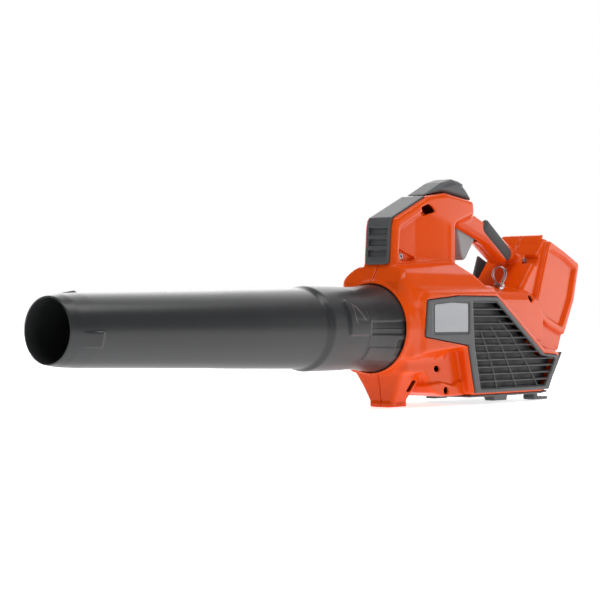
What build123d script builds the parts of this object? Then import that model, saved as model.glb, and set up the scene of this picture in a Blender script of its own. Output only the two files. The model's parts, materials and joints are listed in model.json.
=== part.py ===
"""Handheld battery leaf blower, as an assembly of separate pieces.

Frame: the air leaves towards -X, +Y is the user's right and +Z is up. The origin is on the floor, under the
middle of the overall length. Side outlines are points (station behind the tube's mouth, height over the
fan's axis), drawn on the SIDE plane, whose positive offsets go to the user's left.
"""

import os
from math import cos, radians, sin

from build123d import *

# ---------------------------------------------------------------- driving dimensions, mm and degrees
LENGTH = 990.0  # tube mouth to the back of the battery box
AXIS_HEIGHT = 102.5  # fan axis over the floor
WALL = 3.0  # housing wall
BODY_HALF = 62.0  # half width of the fan and intake body
BELLY_HALF = 46.0
TAIL_HALF = 48.0
PILLAR_HALF = 25.0
BAR_HALF = 17.0
BOX_HALF = 45.0
FOOT_MIDDLE, FOOT_LONG, FOOT_HALF = 589.5, 28.0, 20.5  # sole of the front leg
RUN = 0.05  # radial clearance of a running fit
GAP = 0.3  # clearance between separate mouldings

MOUTH_RADIUS = 34.5  # bore of the outlet
MOUTH_LAND = 14.0  # straight length of that bore
SLEEVE_FRONT, SLEEVE_END = 404.0, 483.0
SLEEVE_RADIUS = 52.6
SPIGOT_RADIUS = 49.0
PIN_STATION, PIN_RADIUS, PIN_ANGLE = 449.0, 3.2, 30.0
COLLAR_FLARE = 56.5
NOSE_FRONT, NOSE_BACK, NOSE_RADIUS = 550.0, 580.0, 61.5  # ring of the housing round the collar

DUCT_BORE, DUCT_WALL = 48.0, 3.0
POD_RADIUS = 26.0
SHAFT_RADIUS = 3.0
IMPELLER_TIP = 47.5
BLADES, VANES = 11, 7

LEAN = 22.6  # battery box leans back
BAY_STATION, BAY_HEIGHT = 904.4, 2.6  # middle of the battery's bottom face
BATTERY_DEPTH, BATTERY_WIDTH, BATTERY_TALL = 78.0, 77.0, 118.0

TRIGGER_PIVOT = (739.0, 141.0)
TRIGGER_HALF = 8.0
EYE_STATION, EYE_LEFT, EYE_FOOT = 806.0, 29.0, 58.4
EYE_WIRE = 1.6
SCREWS = [  # station, height, depth of the head's seat from the middle plane
    (590.0, 93.0, 20.0),
    (650.0, -82.0, 36.0),
    (853.0, 40.0, 38.0),
    (880.5, 95.0, 20.0),
]

SIDE = Plane(origin=(-LENGTH / 2, 0, AXIS_HEIGHT), x_dir=(1, 0, 0), z_dir=(0, -1, 0))
AIR = Axis((-LENGTH / 2, 0, AXIS_HEIGHT), (1, 0, 0))
UP_LEAN = (sin(radians(LEAN)), 0, cos(radians(LEAN)))
BACK_LEAN = (cos(radians(LEAN)), 0, -sin(radians(LEAN)))
BAY_FOOT = SIDE.from_local_coords((BAY_STATION, BAY_HEIGHT, 0))
BAY_SIDE = Plane(origin=BAY_FOOT, x_dir=BACK_LEAN, z_dir=(0, -1, 0))


# ---------------------------------------------------------------- helpers
def world(station, height, left=0.0):
    """The point at a station and a height over the axis, that far to the left of the middle plane."""
    return SIDE.from_local_coords((station, height, left))


def bay_level(rise):
    """A plane across the battery at that height over its foot: x to the back, y to the right, z up."""
    return Plane(origin=BAY_SIDE.from_local_coords((0, rise, 0)), x_dir=BACK_LEAN, z_dir=UP_LEAN)


def around(angle):
    """A plane through the fan axis: x is the station, y the radius. 0 points left and 90 points up."""
    return Plane(
        origin=world(0, 0),
        x_dir=(1, 0, 0),
        z_dir=(0, -sin(radians(angle)), -cos(radians(angle))),
    )


def across(station):
    """A plane across the fan axis at that station: x to the left, y up, z towards the mouth."""
    return Plane(origin=world(station, 0), x_dir=(0, -1, 0), z_dir=(-1, 0, 0))


def slab(outline, near, far, plane=SIDE, grow=0.0):
    """A plate with that side outline, from near to far left of the middle plane."""
    with BuildPart() as plate:
        with BuildSketch(plane.offset(near)):
            with BuildLine():
                Polyline(*outline, close=True)
            make_face()
            if grow:
                offset(amount=grow, kind=Kind.INTERSECTION)
        extrude(amount=far - near)
    return plate.part


def side_prism(outline, half, inset=0.0, radius=0.0, plane=SIDE):
    """A prism about the middle plane, drawn in by inset, with the rims of its side faces rounded."""
    with BuildPart() as prism:
        with BuildSketch(plane):
            with BuildLine():
                Polyline(*outline, close=True)
            make_face()
            if inset:
                offset(amount=-inset, kind=Kind.INTERSECTION)
        extrude(amount=half - inset, both=True)
        if radius > inset:
            flanks = prism.faces().sort_by(Axis.Y)
            fillet(flanks[0].edges() + flanks[-1].edges(), radius - inset)
    return prism.part


def turned(profile, plane=None, arc=360.0):
    """A solid of revolution about the fan axis from points (station, radius)."""
    with BuildPart() as solid:
        with BuildSketch(plane or around(0)):
            with BuildLine():
                Polyline(*profile, close=True)
            make_face()
        revolve(axis=AIR, revolution_arc=arc)
    return solid.part


def cross_prism(section, side, inset=0.0):
    """Where a cross-section (left, height) and a side outline meet, drawn in by inset."""
    start = min(point[0] for point in side)
    end = max(point[0] for point in side)
    with BuildPart() as lengthways:
        with BuildSketch(across(end)):
            with BuildLine():
                Polyline(*section, close=True)
            make_face()
            if inset:
                offset(amount=-inset, kind=Kind.INTERSECTION)
        extrude(amount=end - start)
    flank = side_prism(side, 100.0 + inset, inset)
    with BuildPart() as both:
        add(lengthways.part)
        add(flank, mode=Mode.INTERSECT)
    return both.part


def leg(inset=0.0):
    """The tapered front leg down to the floor."""
    with BuildPart() as block:
        with BuildSketch(Plane(origin=world(595, -28))):
            Rectangle(66 - 2 * inset, 2 * (52 - inset))
        with BuildSketch(Plane(origin=world(FOOT_MIDDLE, -AXIS_HEIGHT + inset))):
            Rectangle(FOOT_LONG - 2 * inset, 2 * (FOOT_HALF - inset))
        loft()
    return block.part


def export(builder, name):
    """Labels a piece and writes it."""
    builder.part.label = name
    export_step(builder.part, f"parts/{name}.step")


os.makedirs("parts", exist_ok=True)

# ---------------------------------------------------------------- housing outlines (station, height)
BODY = [
    (551, -24), (551, 23), (567, 43), (588, 49), (752, 51), (872, -28), (913, -34),
    (899, -64), (883, -87.2), (866, -90), (692, -90), (677, -26), (580, -36), (562, -36),
]
TAIL = [(850, -20), (940, -36), (917, -64), (889, -86.5), (866, -90), (840, -90)]
BELLY = [(562, -60), (562, 60), (700, 60), (700, -90), (648, -90), (624, -84), (612, -66), (604, -60)]
SHOULDER = [(552, 30), (552, 60), (567, 80), (700, 89), (739, 58), (760, 57), (760, 30)]
SHOULDER_SECTION = [(-59, 20), (-59, 45), (-45, 73), (-26, 90), (26, 90), (45, 73), (59, 45), (59, 20)]
SPINE = [(690, -20), (700, 57), (842, 57), (885, 30), (885, -32), (840, -32)]
SPINE_SECTION = [(-52, -40), (-52, 38), (-46, 49), (-22, 58), (22, 58), (46, 49), (52, 38), (52, -40)]
PILLAR = [
    (566, 70), (570, 130), (573, 142), (647, 174.5), (687, 181), (752, 172.8), (754, 154),
    (722, 143), (709, 139), (709, 70),
]
BAR = [
    (735, 168), (769, 157), (796, 147.5), (870, 112), (885, 96), (842, 90), (800, 114), (765, 124), (722, 137),
]
BOX = [
    (842, 57), (877, 96), (906, 127), (990, 92), (973, 39), (950, -12), (940, -34), (884, -33),
    (846, 20),
]
BOX_PANEL = [(906, 124), (866, 23), (902, 2), (945, -12), (973, 39), (988, 92), (948, 109)]
CROWN = [(898, 118), (908, 131), (922, 136), (931, 117)]
GRILLE_PANEL = [
    (590, 36), (660, 42), (751, 42), (870, -37), (910, -39), (895, -63), (880, -87), (698, -87),
    (682, -23), (585, -11),
]
GRILLE_FIELD = [(691, 36), (748, 36), (862, -39), (898, -43), (886, -62), (870, -82), (710, -82), (696, -24)]
PLATE = [(605, -5), (605, 30), (642, 33), (680, 32), (680, -5)]
STRIP = [
    (567, 82), (570.6, 130), (574.8, 141), (643, 170.9), (645, 175.2), (571.6, 143), (567.4, 131), (563.5, 82),
]
HUMP = [
    (647, 175), (687, 181.5), (752, 173.4), (757, 175), (742, 189), (728, 199), (712, 201), (690, 195),
    (655, 179),
]
BASE_WRAP = [
    (862, -90.2), (866.1, -90.2), (889.1, -86.7), (917.2, -64.2), (940.3, -36), (944, -35), (921, -67),
    (892, -90.5), (869, -92.6), (862, -92.6),
]
BASE_FLOOR = [(694, -90.2), (866, -90.2), (884, -88.2), (886, -90.8), (869, -92.6), (694, -92.6)]


def housing_volume(inset=0.0):
    """Everything inside the housing's skin, drawn in by inset."""
    pieces = [
        side_prism(BODY, BODY_HALF, inset, 6.0),
        side_prism(TAIL, TAIL_HALF, inset, 5.0),
        side_prism(BELLY, BELLY_HALF, inset, 6.0),
        cross_prism(SHOULDER_SECTION, SHOULDER, inset),
        cross_prism(SPINE_SECTION, SPINE, inset),
        leg(inset),
        side_prism(PILLAR, PILLAR_HALF, inset, 5.0),
        side_prism(BAR, BAR_HALF, inset, 9.0),
        side_prism(BOX, BOX_HALF, inset, 5.0),
    ]
    if not inset:
        ring = [(NOSE_FRONT, 0), (NOSE_FRONT, NOSE_RADIUS), (NOSE_BACK, NOSE_RADIUS), (NOSE_BACK, 0)]
        pieces.append(turned(ring))
    with BuildPart() as volume:
        for piece in pieces:
            add(piece)
    return volume.part


# ---------------------------------------------------------------- housing halves
RIBS = [(545.0, 570.7), (575.4, 578.4), (586.5, 589.5), (679.5, 682.5)]  # stations of the cross walls
RIB_HOLE = 56.0
RING_LIP = 57.2
BOSS_RADIUS = 5.5
SHANK_RADIUS, HEAD_RADIUS = 2.0, 4.0

outer_skin = housing_volume()
inner_skin = housing_volume(WALL)
bay_outer = slab([(-41.5, -3), (41.5, -3), (41.5, 140), (-41.5, 140)], -41.3, 41.3, BAY_SIDE)
latch_window = slab([(-74, 44), (-26, 44), (-26, 80), (-74, 80)], -52, -40, BAY_SIDE)
panel_pocket = slab(GRILLE_PANEL, BODY_HALF - 2, BODY_HALF + 5)
grille_window = slab(GRILLE_FIELD, BODY_HALF - 12, BODY_HALF + 5, grow=1.2)
strip_pocket = side_prism(STRIP, 19.3)
vent_window = slab([(560, 88), (560, 126), (580, 126), (580, 88)], -14, 14)
hump_window = slab([(665, 170), (665, 190), (735, 190), (735, 170)], -15, 15)
trigger_slot = slab(
    [(727, 128), (727, 139), (766, 130), (786, 124), (786, 110), (745, 120)],
    -TRIGGER_HALF - 0.6,
    TRIGGER_HALF + 0.6,
)
leg_slot = slab([(597, -68), (607, -68), (602, -82), (593, -82)], -60, 60)
box_field = slab([(906, 108), (878, 32), (904, 17), (938, 6), (960, 42), (973, 84), (945, 95)], 44.5, 60)
screw_channel = slab([(870, 93), (881, 105), (889, 98), (878, 86)], 20, 60)
pentagon = slab([(629, 158), (645, 163.5), (654, 160), (661, 154), (635, 147)], 21, 40)

with BuildPart() as pads_cut:
    for face in (SIDE.offset(BAR_HALF - 1.2), SIDE.offset(-BAR_HALF - 3.8)):
        with BuildSketch(face):
            with Locations((822, 121.5)):
                SlotOverall(84, 21, rotation=-34)
        extrude(amount=5)

with BuildPart() as cavity:
    add(inner_skin)
    for front, back in RIBS:
        with Locations(world((front + back) / 2, -12)):
            Box(back - front, 200, 170, mode=Mode.SUBTRACT)
    for station, height, seat in SCREWS:
        with Locations(world(station, height)):
            Cylinder(BOSS_RADIUS, 120, rotation=(90, 0, 0), mode=Mode.SUBTRACT)
    with Locations(world(EYE_STATION, EYE_FOOT - 12, EYE_LEFT)):
        Box(15, 15, 14, mode=Mode.SUBTRACT)
    with Locations(world(628, 0)):
        Cylinder(RIB_HOLE, 116, rotation=(0, 90, 0))
    for front, back in RIBS[2:]:
        for station in (front - 1.5, back + 1.5):
            with Locations(world(station, 0)):
                Cylinder(RING_LIP + 0.2, 3, rotation=(0, 90, 0))
    with Locations(world(573.1, 0)):
        Cylinder(59.1, 4.6, rotation=(0, 90, 0))

with BuildPart() as housing:
    add(outer_skin)
    add(side_prism(CROWN, 34, radius=2.0))
    add(side_prism(BOX_PANEL, BOX_HALF + 2, radius=1.5))
    add(cavity.part, mode=Mode.SUBTRACT)
    for cut in (
        bay_outer, latch_window, panel_pocket, panel_pocket.mirror(Plane.XZ), grille_window,
        grille_window.mirror(Plane.XZ), strip_pocket, vent_window, hump_window, trigger_slot, leg_slot,
        box_field, box_field.mirror(Plane.XZ), screw_channel, pentagon, pads_cut.part,
    ):
        add(cut, mode=Mode.SUBTRACT)
    with Locations(world(EYE_STATION, EYE_FOOT - 3.4, EYE_LEFT)):
        Box(9, 8, 6, mode=Mode.SUBTRACT)
    with Locations(world(EYE_STATION, EYE_FOOT, EYE_LEFT)):
        Cylinder(3.8, 19, rotation=(90, 0, 0), mode=Mode.SUBTRACT)
    with Locations(world(555, 0)):
        Cylinder(COLLAR_FLARE + GAP, 33, rotation=(0, 90, 0), mode=Mode.SUBTRACT)
    for station, height, seat in SCREWS:
        with Locations(world(station, height, seat + 30)):
            Cylinder(HEAD_RADIUS + 0.5, 60, rotation=(90, 0, 0), mode=Mode.SUBTRACT)
        with Locations(world(station, height, seat - 22)):
            Cylinder(SHANK_RADIUS, 50, rotation=(90, 0, 0), mode=Mode.SUBTRACT)

with BuildPart() as left_housing:
    add(housing.part)
    split(bisect_by=Plane.XZ, keep=Keep.TOP)
export(left_housing, "left_housing")

with BuildPart() as right_housing:
    add(housing.part)
    split(bisect_by=Plane.XZ, keep=Keep.BOTTOM)
export(right_housing, "right_housing")

# ---------------------------------------------------------------- grilles, plates, trim
LOUVERS = 16
LOUVER_PITCH = 7.5
LOUVER_GAP = 5.2
with BuildPart() as left_grille:
    with BuildSketch(SIDE.offset(BODY_HALF - 2 + 0.05)):
        with BuildLine():
            Polyline(*GRILLE_PANEL, close=True)
        make_face()
        offset(amount=-GAP, kind=Kind.INTERSECTION)
        with BuildLine():
            Polyline(*GRILLE_FIELD, close=True)
        make_face(mode=Mode.SUBTRACT)
    extrude(amount=2.4)
    with BuildSketch(SIDE.offset(BODY_HALF - 5.5)):
        with BuildLine():
            Polyline(*GRILLE_FIELD, close=True)
        make_face()
        offset(amount=0.6, kind=Kind.INTERSECTION)
        with Locations((790, -23)):
            with GridLocations(1, LOUVER_PITCH, 1, LOUVERS):
                Rectangle(300, LOUVER_GAP, mode=Mode.SUBTRACT)
    extrude(amount=7.1)
    for foot, head in ((742, 706), (782, 728), (826, 752)):
        with BuildSketch(SIDE.offset(BODY_HALF - 3)):
            with BuildLine():
                Polyline((foot, -82), (foot + 2, -82), (head + 2, 36), (head, 36), close=True)
            make_face()
            with BuildLine():
                Polyline(*GRILLE_FIELD, close=True)
            make_face(mode=Mode.INTERSECT)
        extrude(amount=4.6)
export(left_grille, "left_grille")

with BuildPart() as right_grille:
    add(left_grille.part)
    mirror(about=Plane.XZ, mode=Mode.REPLACE)
export(right_grille, "right_grille")

for name, sign in (("left_plate", 1), ("right_plate", -1)):
    with BuildPart() as plate:
        with BuildSketch(SIDE.offset(sign * (BODY_HALF + 0.45))):
            with BuildLine():
                Polyline(*PLATE, close=True)
            make_face()
            fillet(vertices(), 2.0)
        extrude(amount=sign * 0.6)
    export(plate, name)

with BuildPart() as front_vent_strip:
    with BuildSketch(SIDE):
        with BuildLine():
            Polyline(*STRIP, close=True)
        make_face()
    extrude(amount=19.0, both=True)
    for row in range(4):
        with Locations(world(567, 92 + 10 * row)):
            Box(12, 28, 5.5, mode=Mode.SUBTRACT)
export(front_vent_strip, "front_vent_strip")

# ---------------------------------------------------------------- control cover, keypad
KEY_RADIUS, KEY_TRAVEL, KEY_SPREAD = 4.0, 0.8, 12.0
KEY_FACE_MIDDLE = (735.0, 194.0)
key_out = Vector(10, 0, 14).normalized()
KEYPAD = Plane(origin=world(*KEY_FACE_MIDDLE), x_dir=(0, 1, 0), z_dir=key_out)
hump_hollow = side_prism(HUMP, 20.5, 2.4)
with BuildPart() as control_cover:
    add(side_prism(HUMP, 20.5))
    add(hump_hollow, mode=Mode.SUBTRACT)
    with Locations(world(700, 178)):
        Box(56, 28, 10, mode=Mode.SUBTRACT)
    with BuildSketch(KEYPAD.offset(-3.5)):
        with GridLocations(KEY_SPREAD, 1, 3, 1):
            Circle(KEY_RADIUS + 0.25)
    extrude(amount=6, mode=Mode.SUBTRACT)
export(control_cover, "control_cover")

for index, name in enumerate(("boost_button", "power_button", "cruise_button")):
    with BuildPart() as button:
        with BuildSketch(KEYPAD.offset(-4.2)):
            with Locations(((index - 1) * KEY_SPREAD, 0)):
                Circle(KEY_RADIUS)
        extrude(amount=5.4)
        fillet(button.faces().sort_by(Axis(world(*KEY_FACE_MIDDLE), key_out))[-1].edges(), 0.8)
        with BuildSketch(KEYPAD.offset(-4.2)):
            with Locations(((index - 1) * KEY_SPREAD, 0)):
                Circle(KEY_RADIUS + 1.0)
        extrude(amount=1.0)
    export(button, name)

with BuildPart() as keypad_board:
    with BuildSketch(KEYPAD.offset(-7.6)):
        Rectangle(35, 13)
    extrude(amount=1.6)
    with BuildSketch(KEYPAD.offset(-6.0)):
        with GridLocations(KEY_SPREAD, 1, 3, 1):
            Circle(2.0)
    extrude(amount=0.8)
export(keypad_board, "keypad_board")

for name, sign in (("left_grip_pad", 1), ("right_grip_pad", -1)):
    with BuildPart() as pad:
        with BuildSketch(SIDE.offset(sign * (BAR_HALF - 1.1))):
            with Locations((822, 121.5)):
                SlotOverall(83.4, 20.4, rotation=-34)
        extrude(amount=sign * 2.2)
        fillet(pad.faces().sort_by(Axis.Y)[0 if sign > 0 else -1].edges(), 0.9)
    export(pad, name)

# ---------------------------------------------------------------- base frame and rear feet
FOOT_SPREAD = 34.0
with BuildPart() as base_frame:
    add(side_prism(BASE_WRAP, TAIL_HALF - 1))
    add(side_prism(BASE_FLOOR, 58.0))
    for side in (-1, 1):
        with BuildSketch(Plane(origin=world(892, -AXIS_HEIGHT, side * FOOT_SPREAD))):
            Rectangle(40, 17)
            fillet(vertices(), 3)
            with Locations((6, 0)):
                SlotOverall(15, 6, mode=Mode.SUBTRACT)
        extrude(amount=4)
        with BuildSketch(Plane(origin=world(878, -AXIS_HEIGHT + 4, side * FOOT_SPREAD))):
            Rectangle(12, 17)
        extrude(amount=8.5)
        with Locations(world(767, -95.5, side * 49)):
            Box(34, 16, 7)
export(base_frame, "base_frame")

# ---------------------------------------------------------------- air path
collar_profile = [
    (412.5, 46), (571, 47.5), (575, 47.5), (575, 58.8), (571, 58.8), (571, COLLAR_FLARE), (549, COLLAR_FLARE),
    (530, 54.9), (490, 52.3), (484, 51.8), (484, SPIGOT_RADIUS), (412.5, SPIGOT_RADIUS),
]
SEAL = (470.0, 473.0, 47.4)
with BuildPart() as outlet_collar:
    add(turned(collar_profile))
    for angle in (PIN_ANGLE, PIN_ANGLE + 180):
        pin_plane = Plane(
            origin=world(PIN_STATION, 0),
            x_dir=(1, 0, 0),
            z_dir=(0, -cos(radians(angle)), sin(radians(angle))),
        )
        with BuildSketch(pin_plane.offset(47.5)):
            Circle(PIN_RADIUS)
        extrude(amount=3.6)
    add(turned([(SEAL[0], SEAL[2]), (SEAL[1], SEAL[2]), (SEAL[1], 50), (SEAL[0], 50)]), mode=Mode.SUBTRACT)
    for angle in (12, -4, -20, 192, 176, 160):
        groove = turned([(495, 51.2), (545, 54.4), (545, 60), (495, 60)], around(angle + 2), 4)
        add(groove, mode=Mode.SUBTRACT)
export(outlet_collar, "outlet_collar")

with BuildPart() as collar_seal:
    add(turned([(SEAL[0], SEAL[2]), (SEAL[1], SEAL[2]), (SEAL[1], 48.95), (SEAL[0], 48.95)]))
export(collar_seal, "collar_seal")

tube_profile = [
    (0, MOUTH_RADIUS), (MOUTH_LAND, MOUTH_RADIUS), (30, 37.6), (129, 39.6), (232, 42.1), (300, 44.0),
    (388, 46.0), (412, 46.0), (412, SPIGOT_RADIUS + RUN), (SLEEVE_END, SPIGOT_RADIUS + RUN),
    (SLEEVE_END, SLEEVE_RADIUS), (412, SLEEVE_RADIUS), (SLEEVE_FRONT, 48.9), (388, 48.5), (300, 46.5), (232, 44.5),
    (129, 42.0), (38, 40.0), (14, 38.6), (1.5, 36.8), (0, 36.2),
]
LEG_FRONT, LEG_BACK, LEG_TOP, LEG_HALF = 439.0, 459.0, 42.0, 10.0
BULGE_RADIUS = 55.0
GROOVE_RADIUS = 51.7
with BuildPart() as blower_tube:
    add(turned(tube_profile))
    for angle in (106, -14, -134):
        ramp = [(15, 37.5), (44, 39), (44, 42.6)]
        add(turned(ramp, around(angle + 14), 28))
    for turn in (0, 180):
        bulge = [(LEG_FRONT, 50.5), (LEG_BACK, 50.5), (LEG_BACK, BULGE_RADIUS), (LEG_FRONT, BULGE_RADIUS)]
        add(turned(bulge, around(LEG_TOP + turn), LEG_TOP + LEG_HALF))
        bulge = [(LEG_FRONT, 50.5), (SLEEVE_END, 50.5), (SLEEVE_END, BULGE_RADIUS), (LEG_FRONT, BULGE_RADIUS)]
        add(turned(bulge, around(LEG_HALF + turn), 2 * LEG_HALF))
    for turn in (0, 180):
        front, back = PIN_STATION - 4, PIN_STATION + 4
        track = [(front, 48), (back, 48), (back, GROOVE_RADIUS), (front, GROOVE_RADIUS)]
        add(turned(track, around(PIN_ANGLE + 5 + turn), PIN_ANGLE + 10), mode=Mode.SUBTRACT)
        track = [(front, 48), (SLEEVE_END + 2, 48), (SLEEVE_END + 2, GROOVE_RADIUS), (front, GROOVE_RADIUS)]
        add(turned(track, around(5 + turn), 10), mode=Mode.SUBTRACT)
export(blower_tube, "blower_tube")

DUCT_FRONT, DUCT_BACK = 575.4, 690.0
POD_FRONT, POD_BACK = 598.0, 648.0
with BuildPart() as fan_duct:
    barrel = DUCT_BORE + DUCT_WALL
    add(turned([
        (DUCT_FRONT, 47.6), (590, DUCT_BORE), (DUCT_BACK, DUCT_BORE), (696, 50), (700, 53.5), (701, 55.6),
        (699, 55.6), (694, 52.6), (DUCT_BACK - 2, barrel), (DUCT_FRONT, barrel),
    ]))
    add(turned([
        (POD_FRONT, 23.8), (644, 23.8), (644, 9), (612, 9), (612, 6.5), (618, 6.5), (618, 5.0), (640, 5.0),
        (640, 6.5), (POD_BACK, 6.5), (POD_BACK, POD_RADIUS), (POD_FRONT, POD_RADIUS),
    ]))
    for number in range(VANES):
        angle = 90 + number * 360 / VANES
        vane = Plane(
            origin=world(622, 0),
            x_dir=(1, 0, 0),
            z_dir=(0, -cos(radians(angle)), sin(radians(angle))),
        )
        with BuildSketch(vane.offset(POD_RADIUS - 1)):
            Rectangle(40, 2.2, rotation=12)
        with BuildSketch(vane.offset(DUCT_BORE + 1)):
            Rectangle(40, 2.2, rotation=20)
        loft()
export(fan_duct, "fan_duct")

for name, (front, back) in (("front_duct_ring", RIBS[2]), ("rear_duct_ring", RIBS[3])):
    with BuildPart() as ring:
        add(turned([
            (front - 2.5, barrel), (back + 2.5, barrel), (back + 2.5, RING_LIP), (back, RING_LIP),
            (back, RIB_HOLE), (front, RIB_HOLE), (front, RING_LIP), (front - 2.5, RING_LIP),
        ]))
    export(ring, name)

with BuildPart() as tail_cone:
    with BuildSketch(around(0)):
        with BuildLine():
            Polyline((597.8, 0), (597.8, POD_RADIUS), (590, POD_RADIUS - 0.6))
            Spline((590, POD_RADIUS - 0.6), (570, 17), (552, 0), tangents=((-1, -0.1), (-0.6, -1)))
            Line((552, 0), (597.8, 0))
        make_face()
    revolve(axis=AIR)
    with BuildSketch(around(0)):
        with BuildLine():
            Polyline((597.8, 0), (597.8, 22.5), (588, 21), (580, 16), (575, 8), (575, 0), close=True)
        make_face()
    revolve(axis=AIR, mode=Mode.SUBTRACT)
export(tail_cone, "tail_cone")

# ---------------------------------------------------------------- motor and fan
with BuildPart() as motor_stator:
    add(turned([(616, 9), (638, 9), (638, 13), (616, 13)]))
    for number in range(12):
        with BuildSketch(across(634)):
            with PolarLocations(14.9, 1, start_angle=number * 30):
                Rectangle(5.2, 3.4)
        extrude(amount=14)
    add(turned([(620, 17.2), (634, 17.2), (634, 19.8), (620, 19.8)]))
export(motor_stator, "motor_stator")

with BuildPart() as rotor_bell:
    add(turned([
        (604, SHAFT_RADIUS), (604, 20), (606, 22.8), (641, 22.8), (641, 21.4), (608, 21.4), (607, 8),
        (611, 7), (611, SHAFT_RADIUS),
    ]))
export(rotor_bell, "rotor_bell")

with BuildPart() as rotor_magnets:
    for number in range(14):
        add(turned(
            [(616, 20.3), (638, 20.3), (638, 21.4), (616, 21.4)],
            around(number * 360 / 14),
            360 / 14 - 4,
        ))
export(rotor_magnets, "rotor_magnets")

for name, front in (("front_bearing", 612.4), ("rear_bearing", 640.6)):
    with BuildPart() as bearing:
        add(turned([
            (front, SHAFT_RADIUS + RUN), (front + 5, SHAFT_RADIUS + RUN), (front + 5, 6.5), (front, 6.5),
        ]))
    export(bearing, name)

with BuildPart() as motor_shaft:
    add(turned([(602, 0), (700, 0), (700, 2.5), (699.5, SHAFT_RADIUS), (602.5, SHAFT_RADIUS), (602, 2.5)]))
export(motor_shaft, "motor_shaft")

HUB_FRONT, HUB_BACK = 650.0, 684.0
with BuildPart() as impeller:
    add(turned([
        (HUB_FRONT, SHAFT_RADIUS), (HUB_FRONT, 25.6), (HUB_BACK - 6, 25.6), (HUB_BACK, 22), (HUB_BACK, 9),
        (HUB_BACK - 4, 8), (HUB_BACK - 4, SHAFT_RADIUS),
    ]))
    for number in range(BLADES):
        angle = number * 360 / BLADES
        root = Plane(
            origin=world(666, 0),
            x_dir=(1, 0, 0),
            z_dir=(0, -cos(radians(angle)), sin(radians(angle))),
        )
        with BuildSketch(root.offset(24)):
            Ellipse(13.5, 1.5, rotation=-28)
        with BuildSketch(root.offset(IMPELLER_TIP + 2)):
            Ellipse(15.5, 0.9, rotation=-52)
        loft()
    add(turned([(640, IMPELLER_TIP), (700, IMPELLER_TIP), (700, 60), (640, 60)]), mode=Mode.SUBTRACT)
export(impeller, "impeller")

with BuildPart() as impeller_nut:
    with BuildSketch(across(686)):
        RegularPolygon(5.5, 6)
        Circle(SHAFT_RADIUS, mode=Mode.SUBTRACT)
    extrude(amount=6)
export(impeller_nut, "impeller_nut")

with BuildPart() as spinner:
    add(turned([
        (684.05, 6.8), (684.05, 21.8), (692, 19.5), (700, 14), (706, 6), (707, 0), (704.5, 0), (703, 5),
        (697, 11), (690, 16), (686.5, 17), (686.5, 6.8),
    ]))
export(spinner, "spinner")

# ---------------------------------------------------------------- trigger
pivot_x, pivot_z = TRIGGER_PIVOT
with BuildPart() as trigger:
    with BuildSketch(SIDE):
        with BuildLine():
            Polyline(
                (733, 145), (736, 128), (744, 97), (750, 92), (756, 95), (777, 121), (772, 133),
                (750, 146), (742, 147.5), close=True,
            )
        make_face()
    extrude(amount=TRIGGER_HALF, both=True)
    edges_to_round = trigger.edges().filter_by(Axis.Y)
    fillet(edges_to_round, 1.2)
    with Locations(world(pivot_x, pivot_z)):
        Cylinder(2.0 + RUN, 40, rotation=(90, 0, 0), mode=Mode.SUBTRACT)
        Cylinder(5.6, 7, rotation=(90, 0, 0), mode=Mode.SUBTRACT)
export(trigger, "trigger")

with BuildPart() as trigger_pin:
    with Locations(world(pivot_x, pivot_z)):
        Cylinder(2.0, 27, rotation=(90, 0, 0))
export(trigger_pin, "trigger_pin")

with BuildPart() as trigger_spring:
    with BuildLine() as coil:
        Helix(pitch=1.1, height=5.2, radius=3.6, center=world(pivot_x, pivot_z, 2.6), direction=(0, 1, 0))
    with BuildSketch(Plane(origin=coil.line @ 0, z_dir=coil.line % 0)):
        Circle(0.4)
    sweep()
export(trigger_spring, "trigger_spring")

with BuildPart() as trigger_switch:
    with Locations(world(764, 148.6)):
        Box(14, 10, 5.6)
    with Locations(world(762, 145.6)):
        Cylinder(1.2, 1.2)
export(trigger_switch, "trigger_switch")

# ---------------------------------------------------------------- electronics
with BuildPart() as control_board:
    with Locations(world(645, 126)):
        Box(84, 1.6, 48)
    for station in (615, 632, 649, 666):
        with Locations(world(station, 116, 4.3)):
            Cylinder(5, 7, rotation=(90, 0, 0))
export(control_board, "control_board")

with BuildPart() as heat_sink:
    with Locations(world(645, 132, -2.8)):
        Box(70, 4, 40)
    for row in range(9):
        with Locations(world(645, 114 + 4.5 * row, -10.4)):
            Box(70, 11.2, 1.6)
export(heat_sink, "heat_sink")

with BuildPart() as motor_leads:
    for station in (612, 620, 628):
        with BuildSketch(Plane(origin=world(station, barrel + 0.3))):
            Circle(1.6)
        extrude(amount=102 - barrel - 0.5)
export(motor_leads, "motor_leads")

lead_route = [
    (688, 104), (694, 84), (708, 62), (735, 44), (770, 34), (815, 28), (842, 14), (860, -8), (880, -18),
    (893.5, -14), (898.1, -2.8),
]
with BuildPart() as battery_leads:
    for left in (-3, 3):
        with BuildLine() as route:
            FilletPolyline(*[world(s, h, left) for s, h in lead_route], radius=5)
        with BuildSketch(Plane(origin=route.line @ 0, z_dir=route.line % 0)):
            Circle(1.8)
        sweep()
export(battery_leads, "battery_leads")

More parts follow.
